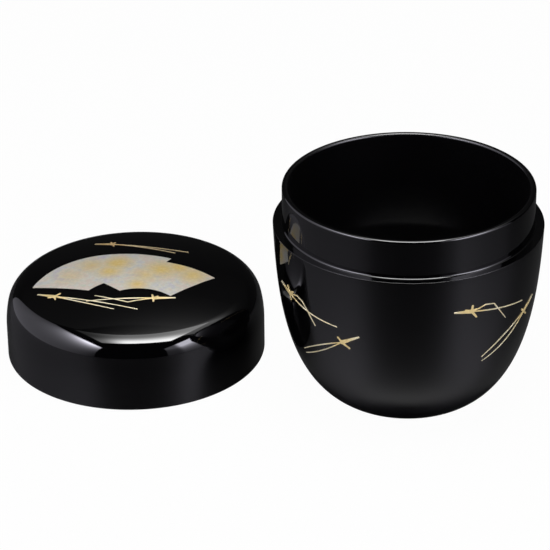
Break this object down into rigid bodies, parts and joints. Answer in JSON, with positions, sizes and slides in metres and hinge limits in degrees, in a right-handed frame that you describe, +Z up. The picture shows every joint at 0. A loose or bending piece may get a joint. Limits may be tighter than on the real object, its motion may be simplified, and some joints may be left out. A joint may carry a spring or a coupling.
{
  "type": "lacquer tea caddy",
  "caption": "Round black lacquer caddy for powdered tea: a bowl-shaped cup with a collar, and a domed slip-over lid that stands beside it, both with fine gold sprigs.",
  "frame": {"origin": "on the cup's axis, at the height of the surface that the cup and the lid stand on", "axes": "+Z is up; +X points from the lid towards the cup, along the longest extent; +Y points to the back, away from the viewer in the picture"},
  "size_m": [0.1347, 0.0864, 0.0558],
  "materials": {
    "black_lacquer": "deep mirror gloss black lacquer",
    "gold": "raised pale gold line work, satin",
    "shell_inlay": "silvery mother-of-pearl with soft gold clouds"
  },
  "bodies": {
    "cup": {"caddy_cup": "black_lacquer", "cup_sprig_upper_left": "gold", "cup_sprig_lower_left": "gold", "cup_sprig_upper_right": "gold", "cup_sprig_far_right": "gold", "cup_sprig_back_right": "gold", "cup_sprig_back": "gold", "cup_sprig_back_left": "gold"},
    "lid": {"lid_shell": "black_lacquer", "fan_leaf_left": "shell_inlay", "fan_leaf_right": "shell_inlay", "lid_sprig_rear": "gold", "lid_sprigs_crossed": "gold"}
  },
  "joints": [
    {"name": "lid_lift", "type": "slide", "parent": "cup", "child": "lid", "axis": [0, 0, 1], "range_m": [0, 0.065]}
  ]
}
